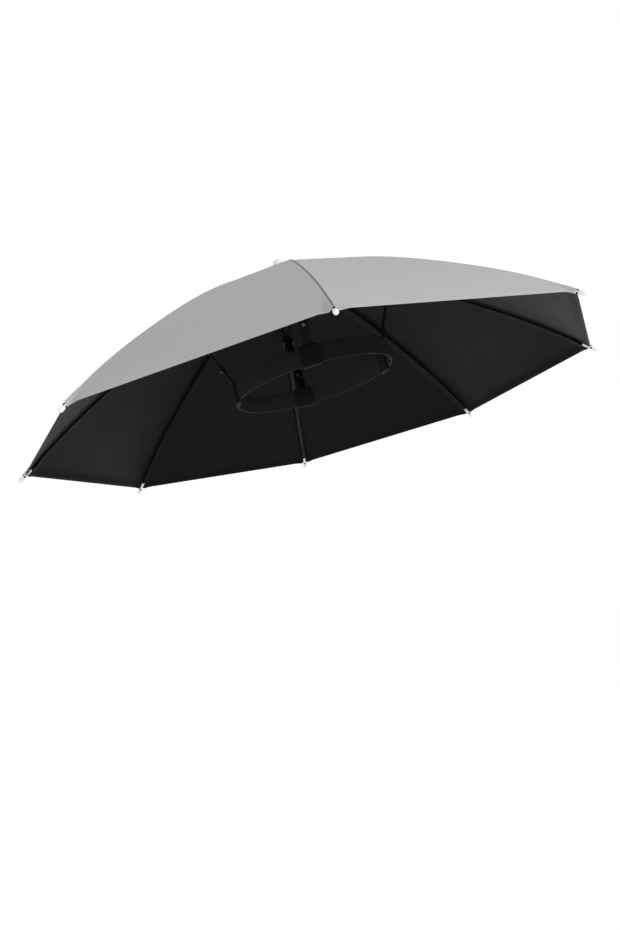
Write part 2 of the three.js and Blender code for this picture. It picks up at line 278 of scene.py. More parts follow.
@dataclass(frozen=True)
class Cloth:
    """Coated polyester with a fine plain weave, on a UV map in metres."""

    name: str
    light: float
    dark: float
    # The base colour of the painted shade in a seam's groove.
    groove: float
    roughness: float
    metallic: float
    specular: float
    sheen: float
    sheen_roughness: float = 0.25
    thread: float = 0.42 * MM
    thread_height: float = 0.035 * MM
    pucker: float = 7 * MM
    pucker_height: float = 0.16 * MM
    ripple: float = 55 * MM
    ripple_height: float = 0.30 * MM
    mottle: float = 18 * MM
    fleck: float = 1.1 * MM
    # Metres from a seam where the painted seam shade ends and where it is full.
    seam_shade: tuple[float, float] = (1.2 * MM, 0.6 * MM)
    seam_gather: tuple[float, float] = (13 * MM, 1.5 * MM)
    hem_gather: tuple[float, float] = (10 * MM, 4 * MM)
    waver: float = 16 * MM
    waver_turn: float = 9.0
    tint: float = -0.006

    def make(self) -> bpy.types.Material:
        """The material: threads, soft ripples, puckers beside the seams, and painted shade in the seam and
        between the threads.
        """
        recipe = Recipe(
            self.name,
            {
                "Metallic": self.metallic,
                "Specular IOR Level": self.specular,
                "Sheen Weight": self.sheen,
                "Sheen Roughness": self.sheen_roughness,
            },
        )
        across, along = recipe.surface("cloth")
        from_seam, from_hem = recipe.surface("edges")
        threads = recipe.weave(across, along, self.thread, self.thread)
        mottle = recipe.object_noise(self.mottle, 3)
        fleck = recipe.object_noise(self.fleck, 1)
        # Partly painted shade: the weave's height makes thread tops lighter and the dips between them darker;
        # mottle and fleck are random tone.
        shade = threads * 0.5 + mottle * 0.35 + fleck * 0.15
        body = recipe.mix(shade, grey(self.dark, self.tint), grey(self.light, self.tint))
        # Painted shade: the cloth beside a seam takes the darker groove colour.
        painted_seam_shade = recipe.step(from_seam, *self.seam_shade)
        recipe.feed("Base Color", recipe.mix(painted_seam_shade, body, grey(self.groove, self.tint)))
        recipe.feed("Roughness", self.roughness + (mottle - 0.5) * 0.12 + (1 - threads) * 0.05)
        near = recipe.step(from_seam, *self.seam_gather) + 0.5 * recipe.step(from_hem, *self.hem_gather)
        waver = recipe.object_noise(self.waver, 1)
        turns = along * (2 * math.pi / self.pucker) + waver * self.waver_turn
        gather = turns.cosine() * near * self.pucker_height
        ripples = recipe.object_noise(self.ripple, 2) * self.ripple_height
        recipe.relief(threads * self.thread_height + gather * 0.5 + ripples)
        return recipe.material


@dataclass(frozen=True)
class Moulded:
    """Moulded plastic: an even colour with slight flow marks and a fine skin."""

    name: str
    light: float
    dark: float
    roughness: float
    specular: float = 0.5
    coat: float = 0.0
    coat_roughness: float = 0.15
    flow: float = 7 * MM
    grain: float = 0.5 * MM
    grain_height: float = 0.010 * MM
    tint: float = 0.0

    def make(self) -> bpy.types.Material:
        """The material."""
        recipe = Recipe(
            self.name,
            {
                "Specular IOR Level": self.specular,
                "Coat Weight": self.coat,
                "Coat Roughness": self.coat_roughness,
            },
        )
        flow = recipe.object_noise(self.flow, 2, (1, 1, 2.5))
        skin = recipe.object_noise(self.grain, 2)
        shade = flow * 0.7 + skin * 0.3
        recipe.feed("Base Color", recipe.mix(shade, grey(self.dark, self.tint), grey(self.light, self.tint)))
        recipe.feed("Roughness", self.roughness + (flow - 0.5) * 0.18 + (skin - 0.5) * 0.08)
        recipe.relief(skin * self.grain_height + flow * (2 * self.grain_height))
        return recipe.material


@dataclass(frozen=True)
class Metal:
    """Painted or plated steel, with the fine lines of its drawing or turning."""

    name: str
    light: float
    dark: float
    roughness: float
    metallic: float
    specular: float
    cloud: float = 9 * MM
    line: float = 0.25 * MM
    line_height: float = 0.006 * MM

    def make(self) -> bpy.types.Material:
        """The material."""
        recipe = Recipe(self.name, {"Metallic": self.metallic, "Specular IOR Level": self.specular})
        cloud = recipe.object_noise(self.cloud, 3)
        peel = recipe.object_noise(self.line * 3, 1)
        lines = recipe.object_noise(self.line, 2, (1, 1, 5))
        recipe.feed("Base Color", recipe.mix(cloud, grey(self.dark), grey(self.light)))
        recipe.feed("Roughness", self.roughness + (cloud - 0.5) * 0.2 + (lines - 0.5) * 0.1)
        recipe.relief(lines * self.line_height + peel * (2 * self.line_height))
        return recipe.material


@dataclass(frozen=True)
class Elastic:
    """Woven elastic: cords along the band, and covering threads across them."""

    name: str = "elastic_black"
    light: float = 0.017
    dark: float = 0.005
    roughness: float = 0.72
    specular: float = 0.05
    cord: float = 1.25 * MM
    crossing: float = 0.7 * MM
    height: float = 0.11 * MM
    fuzz: float = 0.35 * MM
    cloud: float = 12 * MM

    def make(self) -> bpy.types.Material:
        """The material."""
        recipe = Recipe(self.name, {"Specular IOR Level": self.specular})
        along, up = recipe.surface("band")
        threads = recipe.weave(up, along, self.cord, self.crossing)
        fuzz = recipe.object_noise(self.fuzz, 2)
        cloud = recipe.object_noise(self.cloud, 2)
        # Partly painted shade: the weave's height makes cord tops lighter and the dips between them darker;
        # fuzz and cloud are random tone.
        shade = threads * 0.6 + fuzz * 0.25 + cloud * 0.15
        recipe.feed("Base Color", recipe.mix(shade, grey(self.dark), grey(self.light)))
        recipe.feed("Roughness", self.roughness + (fuzz - 0.5) * 0.2)
        recipe.relief(threads * self.height + fuzz * (0.3 * self.height))
        return recipe.material


@dataclass(frozen=True)
class Thread:
    """Sewing thread, with its twist."""

    name: str
    light: float
    dark: float
    roughness: float = 0.6
    twist: float = 0.5 * MM
    ply_height: float = 0.03 * MM

    def make(self) -> bpy.types.Material:
        """The material."""
        recipe = Recipe(self.name, {"Specular IOR Level": 0.1, "Sheen Weight": 0.02})
        plies = recipe.object_noise(self.twist, 1, (1, 1, 0.5))
        recipe.feed("Base Color", recipe.mix(plies, grey(self.dark), grey(self.light)))
        recipe.feed("Roughness", self.roughness + (plies - 0.5) * 0.2)
        recipe.relief(plies * self.ply_height)
        return recipe.material


@dataclass(frozen=True)
class Finishes:
    """Every finish of the hat, each made once."""

    silver: bpy.types.Material
    lining: bpy.types.Material
    steel: bpy.types.Material
    white: bpy.types.Material
    black: bpy.types.Material
    nickel: bpy.types.Material
    elastic: bpy.types.Material
    dark_thread: bpy.types.Material
    grey_thread: bpy.types.Material

    @classmethod
    def make(cls) -> Finishes:
        """All the finishes."""
        # In both cloths, groove is the base colour of the painted shade along the seams.
        silver = Cloth(
            "cloth_silver",
            light=0.278,
            dark=0.24,
            groove=0.085,
            roughness=0.55,
            metallic=0.05,
            specular=0.2,
            sheen=0.0,
        )
        lining = Cloth(
            "cloth_black",
            light=0.0046,
            dark=0.0030,
            groove=0.0026,
            roughness=0.5,
            metallic=0.0,
            specular=0.032,
            sheen=0.05,
        )
        steel = Metal("steel_black", light=0.006, dark=0.004, roughness=0.36, metallic=0.0, specular=0.12)
        nickel = Metal("steel_nickel", light=0.07, dark=0.05, roughness=0.32, metallic=1.0, specular=0.5)
        white = Moulded("plastic_white", light=0.50, dark=0.46, roughness=0.30, coat=0.1, tint=0.004)
        black = Moulded("plastic_black", light=0.006, dark=0.004, roughness=0.75, specular=0.06)
        return cls(
            silver=silver.make(),
            lining=lining.make(),
            steel=steel.make(),
            white=white.make(),
            black=black.make(),
            nickel=nickel.make(),
            elastic=Elastic().make(),
            dark_thread=Thread("thread_dark", light=0.008, dark=0.004).make(),
            grey_thread=Thread("thread_grey", light=0.50, dark=0.36).make(),
        )


# Shape helpers


def to_piece(
    name: str,
    bm: bmesh.types.BMesh,
    materials: Sequence[bpy.types.Material],
    nodes: Sequence[str] = (),
    sharp_degrees: float = 40.0,
) -> bpy.types.Object:
    """Turns a bmesh into a finished piece of the hat that rides on its frame.

    Args:
        name: The piece's name.
        bm: The bmesh, in place, which is freed.
        materials: Its materials, by index.
        nodes: The CAD nodes that it stands for.
        sharp_degrees: The angle past which an edge stays sharp.

    Returns:
        The object.
    """
    mesh = bpy.data.meshes.new(name)
    bm.to_mesh(mesh)
    bm.free()
    for material in materials:
        mesh.materials.append(material)
    mesh.shade_smooth()
    mesh.set_sharp_from_angle(angle=math.radians(sharp_degrees))
    piece = bpy.data.objects.new(name, mesh)
    bpy.context.scene.collection.objects.link(piece)
    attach(piece, ROOT)
    if nodes:
        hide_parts(*nodes)
    log.info("%s: %d faces", name, len(mesh.polygons))
    return piece


def spin(
    bm: bmesh.types.BMesh,
    geom: Sequence[object],
    angle: float,
    steps: int,
    merge: bool = False,
    repeat: bool = False,
) -> None:
    """Spins geometry about Z.

    Args:
        bm: The bmesh.
        geom: The points, edges and faces to spin.
        angle: How far they turn, in radians.
        steps: How many steps they take.
        merge: Whether the last step joins the first.
        repeat: Whether each step leaves a separate copy, and no surface between them.
    """
    bmesh.ops.spin(
        bm,
        geom=geom,
        cent=(0, 0, 0),
        axis=(0, 0, 1),
        angle=angle,
        steps=steps,
        use_merge=merge,
        use_duplicate=repeat,
    )


def spun(rows: Sequence[tuple[float, float]], steps: int, closed: bool) -> bmesh.types.BMesh:
    """Spins a profile once round Z and merges its doubles.

    Args:
        rows: Radius and height of each of its points.
        steps: How many facets go round.
        closed: Whether the profile's last point joins its first.

    Returns:
        The bmesh.
    """
    bm = bmesh.new()
    verts = [bm.verts.new((radius, 0.0, height)) for radius, height in rows]
    joined = verts[1:] + verts[:1] if closed else verts[1:]
    edges = [bm.edges.new(pair) for pair in zip(verts, joined)]
    spin(bm, verts + edges, 2 * math.pi, steps, merge=True)
    bmesh.ops.remove_doubles(bm, verts=bm.verts, dist=MERGE)
    return bm


def turned(rows: Sequence[tuple[float, float]], steps: int, matrix: Matrix) -> bmesh.types.BMesh:
    """Spins an open profile that starts and ends on the axis, and puts it in place.

    Args:
        rows: Radius and height of each point, from one end of the axis to the other.
        steps: How many facets go round.
        matrix: Where the piece's own axes lie.

    Returns:
        The bmesh.
    """
    bm = spun(rows, steps, closed=False)
    bmesh.ops.transform(bm, matrix=matrix, verts=bm.verts)
    bmesh.ops.recalc_face_normals(bm, faces=bm.faces)
    return bm


def rounded(rows: Sequence[tuple[float, float]], radius: float, steps: int = 3) -> list[tuple[float, float]]:
    """The same profile with each inner corner cut back to an arc-like run of points.

    Args:
        rows: The profile's points.
        radius: How far from a corner the rounding starts.
        steps: How many stretches each rounding has.

    Returns:
        The new profile.
    """
    # The most that one rounding takes of an edge.
    share = 0.45
    points = [Vector(row) for row in rows]
    out = [points[0]]
    for before, corner, after in zip(points, points[1:], points[2:]):
        back = min(radius, share * (before - corner).length)
        ahead = min(radius, share * (after - corner).length)
        start = corner + (before - corner).normalized() * back
        end = corner + (after - corner).normalized() * ahead
        for i in range(steps + 1):
            t = i / steps
            out.append(start * (1 - t) ** 2 + corner * 2 * t * (1 - t) + end * t**2)
    out.append(points[-1])
    return [(p.x, p.y) for p in out]


def sweep(bm: bmesh.types.BMesh, outline: Sequence[tuple[float, float]], stations: Sequence[Matrix]) -> None:
    """Extrudes a closed outline from station to station and closes both ends.

    Args:
        bm: The bmesh that it is added to.
        outline: The outline's points in a station's X and Y.
        stations: Where the outline stands, one after another.
    """
    ring = [bm.verts.new(stations[0] @ Vector((x, y, 0.0))) for x, y in outline]
    edges = [bm.edges.new(pair) for pair in zip(ring, ring[1:] + ring[:1])]
    bmesh.ops.contextual_create(bm, geom=edges)
    for here, there in zip(stations, stations[1:]):
        grown = bmesh.ops.extrude_edge_only(bm, edges=edges)["geom"]
        verts = {g for g in grown if isinstance(g, bmesh.types.BMVert)}
        bmesh.ops.transform(bm, matrix=there @ here.inverted(), verts=list(verts))
        edges = [g for g in grown if isinstance(g, bmesh.types.BMEdge) and verts.issuperset(g.verts)]
    bmesh.ops.contextual_create(bm, geom=edges)
    bmesh.ops.recalc_face_normals(bm, faces=list(bm.faces))


def soften(bm: bmesh.types.BMesh, width: float, sharp_degrees: float = 30.0, segments: int = 2) -> None:
    """Rounds every sharp edge of a solid.

    Args:
        bm: The bmesh.
        width: How far the rounding reaches from an edge.
        sharp_degrees: The angle past which an edge counts as sharp.
        segments: How many facets the rounding has.
    """
    limit = math.radians(sharp_degrees)
    edges = [e for e in bm.edges if e.is_manifold and e.calc_face_angle() > limit]
    bmesh.ops.bevel(
        bm,
        geom=edges,
        offset=width,
        offset_type="OFFSET",
        segments=segments,
        profile=0.5,
        affect="EDGES",
        material=-1,
        clamp_overlap=True,
    )


def softened_copy(node: bpy.types.Object, width: float) -> bmesh.types.BMesh:
    """A merged copy of a CAD node with its flat faces joined and its sharp edges rounded.

    Args:
        node: The CAD node.
        width: How far the rounding reaches from an edge.

    Returns:
        The bmesh.
    """
    bm = bmesh.new()
    bm.from_mesh(node.data)
    bmesh.ops.remove_doubles(bm, verts=bm.verts, dist=0.002 * MM)
    bmesh.ops.dissolve_limit(bm, angle_limit=math.radians(0.5), verts=bm.verts, edges=bm.edges)
    soften(bm, width)
    return bm


def smooth(share: float) -> float:
    """A smooth step from 0 to 1."""
    t = min(1.0, max(0.0, share))
    return t * t * (3 - 2 * t)


def stitch(
    bm: bmesh.types.BMesh, centre: Vector, along: Vector, out: Vector, length: float, radius: float
) -> None:
    """Adds one visible stitch, a short bead of thread.

    Args:
        bm: The bmesh that it is added to.
        centre: Its middle.
        along: The way that it runs.
        out: The way out of the cloth.
        length: Its length.
        radius: The thread's radius.
    """
    side = along.cross(out).normalized() * radius
    up = out.normalized() * radius
    run = along.normalized() * (length / 2)
    matrix = Matrix((side, up, run)).transposed().to_4x4()
    matrix.translation = centre
    bmesh.ops.create_icosphere(bm, subdivisions=1, radius=1.0, matrix=matrix)


def repeat_round(bm: bmesh.types.BMesh, count: int) -> None:
    """Repeats the whole bmesh about Z until there are that many of it."""
    geom = list(bm.verts) + list(bm.edges) + list(bm.faces)
    spin(bm, geom, 2 * math.pi * (count - 1) / count, count - 1, repeat=True)


# The canopy's form


@dataclass(frozen=True)
class Station:
    """A place on a seam: its point, and the directions along, out of and across the cloth."""

    point: Vector
    tangent: Vector
    normal: Vector
    across: Vector

    def matrix(self, depth: float = 0.0, lift: float = 0.0) -> Matrix:
        """The station's axes: X across, Y out of the cloth, Z along it.

        Args:
            depth: How far under the cloth's outer face the origin lies.
            lift: The angle in radians by which the axes turn outwards about X.

        Returns:
            The matrix.
        """
        turn = Matrix.Rotation(-lift, 3, self.across)
        axes = Matrix((self.across, turn @ self.normal, turn @ self.tangent)).transposed().to_4x4()
        axes.translation = self.point - self.normal * depth
        return axes


@dataclass(frozen=True)
class CanopyForm:
    """The surface that the ribs stretch the cloth to, curved along the seams and straight across a gore."""

    gores: int = 8
    corner_radius: float = 325 * MM
    rise: float = 158 * MM
    shoulder: float = -0.462
    flare: float = 0.436
    wall: float = 1.2 * MM
    cloth: float = 0.5 * MM
    fold: float = 0.3 * MM
    tip_ridge: float = 1.8 * MM
    apex_hole: float = 6 * MM
    clear: float = 0.3 * MM
    behind_band: float = 7 * MM
    below_band: float = 36 * MM

    @property
    def half_angle(self) -> float:
        """Half the angle between two ribs."""
        return math.pi / self.gores

    @property
    def folded(self) -> float:
        """The thickness of cloth and fold together."""
        return self.cloth + self.fold

    @property
    def centre(self) -> Matrix:
        """Where the middle of the rim lies from the middle of the headband."""
        return Matrix.Translation((0.0, self.behind_band, -self.below_band))

    def azimuth(self, rib: int) -> float:
        """The azimuth of a rib, the first of which is at the front."""
        return -math.pi / 2 + 2 * self.half_angle * (rib - 1)

    def height(self, radius: float) -> float:
        """The seam's height above the rim at a radius."""
        s = radius / self.corner_radius
        return self.rise * (1 - s**2) * (1 + self.shoulder * s**2 + self.flare * s**4)

    def slope(self, radius: float) -> float:
        """The seam's slope at a radius."""
        step = 0.01 * MM
        return (self.height(radius + step) - self.height(radius - step)) / (2 * step)

    def seam(self, radius: float, azimuth: float = 0.0) -> Station:
        """The place on the seam at an azimuth and a radius."""
        outward = Vector((math.cos(azimuth), math.sin(azimuth), 0.0))
        slope = self.slope(radius)
        tangent = (outward + Vector((0, 0, slope))).normalized()
        normal = (Vector((0, 0, 1)) - outward * slope).normalized()
        point = outward * radius + Vector((0, 0, self.height(radius)))
        return Station(point, tangent, normal, normal.cross(tangent))

    def surface(self, azimuth: float, radius: float, share: float) -> tuple[Vector, Vector]:
        """A point of a gore and the way out of it.

        Args:
            azimuth: The azimuth of the gore's first seam.
            radius: The radius where the row meets its seams.
            share: How far across the gore, from 0 to 1.

        Returns:
            The point and the normal.
        """
        first = self.seam(radius, azimuth)
        last = self.seam(radius, azimuth + 2 * self.half_angle)
        normal = first.normal.lerp(last.normal, share).normalized()
        return first.point.lerp(last.point, share), normal

    def chord(self, radius: float) -> float:
        """The width of a gore at a radius."""
        return 2 * radius * math.sin(self.half_angle)

    def inset(self, distance: float) -> float:
        """The radius of the row that lies a distance inside the hem."""
        run = math.hypot(math.cos(self.half_angle), self.slope(self.corner_radius))
        return self.corner_radius - distance / run

    def seam_length(self, radius: float, steps: int = 64) -> float:
        """The length of a seam from the apex hole to a radius."""
        radii = [self.apex_hole + (radius - self.apex_hole) * i / steps for i in range(steps + 1)]
        pairs = zip(radii, radii[1:])
        return sum(math.hypot(b - a, self.height(b) - self.height(a)) for a, b in pairs)


# The canopy


@dataclass
class Canopy:
    """Eight gores sewn into one sheet, silver outside and black inside, with its hems and stitches."""

    form: CanopyForm
    finishes: Finishes
    hem: float = 5.0 * MM
    hem_slope: float = 0.4 * MM
    # The part of a seam's relief that is left where the hem crosses it.
    hem_relief: float = 0.4
    # Metres inside the hem for each metre of radius inside the rim.
    hem_run: float = 1.3
    fell: float = 6.4 * MM
    groove: float = 0.6 * MM
    groove_reach: float = 1.1 * MM
    lip: float = 0.4 * MM
    # Where the lip starts and ends, in reaches of the groove.
    lip_reach: tuple[float, float] = (1.2, 2.95)
    # The two points of the raw edge, and where the outer face gives way to it, in parts of the depth.
    edge_depths: tuple[float, float] = (0.3, 0.7)
    outside_depth: float = 0.2
    rows: int = 46
    columns: int = 42
    beside_seam: tuple[float, ...] = tuple(
        x * MM for x in (0, 0.5, 1.1, 1.8, 2.6, 3.3, 4.2, 6.2, 6.6, 8.6, 11.5, 15)
    )
    # The most that the columns beside a seam take of a gore's width.
    beside_share: float = 0.42
    tip_fold: float = 1.4 * MM
    tip_fold_at: float = 4.2 * MM
    tip_fold_end: float = 15 * MM
    tip_fold_length: float = 26 * MM
    stitch_pitch: float = 3.0 * MM
    stitch_length: float = 2.2 * MM
    stitch_radius: float = 0.17 * MM
    hem_stitch_inset: float = 3.9 * MM
    hem_stitch_start: float = 6.5 * MM
    fell_stitch_inset: float = 5.3 * MM
    fell_stitch_start: float = 26 * MM
    fell_stitch_end: float = 2 * MM
    dimple: float = 0.35 * MM
    dimple_size: float = 70 * MM
    calm_seam: float = 12 * MM
    calm_hem: float = 20 * MM

    def _radii(self) -> list[float]:
        """The radii of the rows, closer together at the hem."""
        form = self.form
        insets = (self.hem, self.hem - self.hem_slope, 2.5 * MM, 0.9 * MM, 0.3 * MM)
        hem_rows = [form.inset(distance) for distance in insets]
        start = form.apex_hole
        plain = [start + (hem_rows[0] - start) * i / self.rows for i in range(self.rows)]
        return plain + hem_rows

    def _from_seam(self, column: int, radius: float) -> float:
        """Metres from a gore's first seam to a column of points, at a radius."""
        chord = self.form.chord(radius)
        last = len(self.beside_seam) - 1
        scale = min(1.0, self.beside_share * chord / self.beside_seam[-1])
        edge = self.beside_seam[-1] * scale
        if column <= last:
            return self.beside_seam[column] * scale
        if column >= self.columns - last:
            return chord - self.beside_seam[self.columns - column] * scale
        return edge + (chord - 2 * edge) * (column - last) / (self.columns - 2 * last)

    def _seam_relief(self, side: Side, after: float, before: float) -> float:
        """How much deeper than a plain cloth a face lies beside a seam.

        Args:
            side: The cloth's face.
            after: Metres past the gore's first seam.
            before: Metres short of its last seam.

        Returns:
            The extra depth.
        """
        nearest = min(after, before)
        if side is Side.OUTSIDE:
            groove = self.groove * max(0.0, 1 - nearest / self.groove_reach)
            start, end = self.lip_reach
            on_lip = start * self.groove_reach < after < end * self.groove_reach
            return groove - (self.lip if on_lip else 0.0)
        return self.form.fold if after < self.fell or before < self.groove_reach else 0.0

    def _over_tip(self, nearest: float, from_rim: float) -> float:
        """How far the cloth rises over a rib's tip, or falls beside it.

        Args:
            nearest: Metres to the nearest seam.
            from_rim: Metres of radius inside the rim.

        Returns:
            The rise, which is negative beside the tip.
        """
        along = smooth(1 - from_rim / self.tip_fold_length)
        if nearest < self.tip_fold_at:
            share = smooth(nearest / self.tip_fold_at) ** 2
            return along * (self.form.tip_ridge - (self.form.tip_ridge + self.tip_fold) * share)
        share = (nearest - self.tip_fold_at) / (self.tip_fold_end - self.tip_fold_at)
        return -along * self.tip_fold * (1 - smooth(share))

    def _beside_tip(self, radius: float, share: float) -> tuple[Vector, Vector]:
        """A point of the first gore's face, with its rise or fall near a rib's tip.

        Args:
            radius: The point's distance from the canopy's axis, measured along the seam's radius.
            share: The point's place between the gore's seams, 0 to 1.

        Returns:
            The point and the face's normal.
        """
        point, normal = self.form.surface(0.0, radius, share)
        nearest = min(share, 1 - share) * self.form.chord(radius)
        return point + normal * self._over_tip(nearest, self.form.corner_radius - radius), normal

    def _sag(self, point: Vector) -> float:
        """The shallow unevenness of stretched cloth at a point."""
        return noise.noise(point / self.dimple_size) * self.dimple

    def _section(self) -> list[tuple[float, float]]:
        """The sheet's closed section before it is put in place: radius, and depth as a negative height."""
        form = self.form
        radii = self._radii()
        hem_full = form.inset(self.hem - self.hem_slope)
        outside = [(r, 0.0) for r in radii]
        edge = [(form.corner_radius, share * form.folded) for share in self.edge_depths]
        inside = [(r, form.cloth + (form.fold if r >= hem_full else 0.0)) for r in reversed(radii)]
        return [(r, -depth) for r, depth in outside + edge + inside]

    def _sewn(self, turn: int, radius: float, depth: float) -> Vector:
        """Where a point of the spun section lies on the canopy.

        Args:
            turn: Its column, counted round the whole canopy.
            radius: Its radius.
            depth: Its depth under the outer face.

        Returns:
            The point.
        """
        form = self.form
        from_rim = form.corner_radius - radius
        gore, column = divmod(turn, self.columns)
        after = self._from_seam(column, radius)
        chord = form.chord(radius)
        nearest = min(after, chord - after)
        side = Side.OUTSIDE if depth < self.outside_depth * form.folded else Side.INSIDE
        relief = self._seam_relief(side, after, chord - after)
        if side is Side.INSIDE and radius > form.inset(self.hem):
            relief *= self.hem_relief
        point, normal = form.surface(2 * form.half_angle * gore, radius, after / chord)
        calm = min(1.0, nearest / self.calm_seam, from_rim / self.calm_hem)
        depth += relief + calm * self._sag(point) - self._over_tip(nearest, from_rim)
        return point - normal * depth

    def build(self) -> bpy.types.Object:
        """The sheet, with its rows of stitches.

        Returns:
            The sheet's object.
        """
        form = self.form
        turns = form.gores * self.columns
        bm = spun(self._section(), turns, closed=True)
        laid: dict[bmesh.types.BMVert, tuple[int, float, float]] = {}
        for vert in bm.verts:
            radius = round(math.hypot(vert.co.x, vert.co.y), 6)
            turn = round(math.atan2(vert.co.y, vert.co.x) / (2 * math.pi) * turns) % turns
            laid[vert] = (turn, radius, -vert.co.z)
        for vert, place in laid.items():
            vert.co = self._sewn(*place)
        self._paint(bm, laid)
        bmesh.ops.transform(bm, matrix=form.centre, verts=bm.verts)
        bmesh.ops.recalc_face_normals(bm, faces=bm.faces)
        nodes = [f"gore_{i}" for i in range(1, form.gores + 1)]
        looks = [self.finishes.silver, self.finishes.lining]
        sheet = to_piece("canopy_cloth", bm, looks, nodes, sharp_degrees=50.0)
        threads = [self._hem_stitches(Side.OUTSIDE), self._hem_stitches(Side.INSIDE), self._fell_stitches()]
        seam = form.seam_length(form.corner_radius)
        hem = form.chord(form.corner_radius)
        area = form.gores * 0.5 * hem * math.sqrt(seam**2 - (hem / 2) ** 2)
        return sheet

    def _paint(
        self, bm: bmesh.types.BMesh, laid: Mapping[bmesh.types.BMVert, tuple[int, float, float]]
    ) -> None:
        """Gives each face its side's material and the two maps that the cloth's finish reads.

        Args:
            bm: The sheet.
            laid: Turn, radius and depth of each point before it was put in place.
        """
        cloth = bm.loops.layers.uv.new("cloth")
        edges = bm.loops.layers.uv.new("edges")
        turns = self.form.gores * self.columns
        outside = self.outside_depth * self.form.folded
        lengths = {radius: self.form.seam_length(radius) for _, radius, _ in laid.values()}
        for face in bm.faces:
            depths = [laid[v][2] for v in face.verts]
            side = Side.INSIDE if sum(depths) / len(depths) > outside else Side.OUTSIDE
            face.material_index = side.value
            first = min(laid[v][0] for v in face.verts)
            if first == 0 and max(laid[v][0] for v in face.verts) == turns - 1:
                first = turns - 1
            start = first // self.columns * self.columns
            for loop in face.loops:
                turn, radius, _ = laid[loop.vert]
                column = (turn - start) % turns
                chord = self.form.chord(radius)
                after = self._from_seam(column, radius)
                loop[cloth].uv = (after - chord / 2, lengths[radius])
                from_hem = (self.form.corner_radius - radius) * self.hem_run
                loop[edges].uv = (min(after, chord - after), from_hem)

    def _stitch_row(
        self,
        name: str,
        thread: bpy.types.Material,
        depth: float,
        places: Sequence[tuple[tuple[float, float], tuple[float, float]]],
    ) -> bpy.types.Object:
        """A row of stitches, which every gore has.

        Args:
            name: The piece's name.
            thread: The thread's finish.
            depth: How far under the cloth's outer face the row lies.
            places: Radius and share of each stitch, and of a point farther along the row.

        Returns:
            The row's object.
        """
        bm = bmesh.new()
        for here, ahead in places:
            point, normal = self._beside_tip(*here)
            farther, _ = self._beside_tip(*ahead)
            centre = point - normal * depth
            stitch(bm, centre, farther - point, normal, self.stitch_length, self.stitch_radius)
        repeat_round(bm, self.form.gores)
        bmesh.ops.transform(bm, matrix=self.form.centre, verts=bm.verts)
        return to_piece(name, bm, [thread], sharp_degrees=ALL_SMOOTH)

    def _hem_stitches(self, side: Side) -> bpy.types.Object:
        """The row of stitches along every hem, on one face of the cloth."""
        radius = self.form.inset(self.hem_stitch_inset)
        chord = self.form.chord(radius)
        count = int(chord / self.stitch_pitch)
        shares = [(i + 0.5) / count for i in range(count)]
        clear = [s for s in shares if min(s, 1 - s) * chord >= self.hem_stitch_start]
        ahead = 0.002
        places = [((radius, s), (radius, s + ahead)) for s in clear]
        if side is Side.OUTSIDE:
            return self._stitch_row("hem_stitches_outside", self.finishes.grey_thread, 0.0, places)
        return self._stitch_row("hem_stitches_inside", self.finishes.dark_thread, self.form.folded, places)

    def _fell_stitches(self) -> bpy.types.Object:
        """The row of stitches that holds each seam's fold down, inside the canopy."""
        form = self.form
        start = self.fell_stitch_start
        end = form.inset(self.hem + self.fell_stitch_end)
        count = int((form.seam_length(end) - form.seam_length(start)) / self.stitch_pitch)
        places = []
        for i in range(count):
            radius = start + (end - start) * (i + 0.5) / count
            pair = (radius, radius + self.stitch_pitch)
            places.append(tuple((r, self.fell_stitch_inset / form.chord(r)) for r in pair))
        return self._stitch_row("seam_stitches", self.finishes.dark_thread, form.folded, places)


# Ribs and their tips


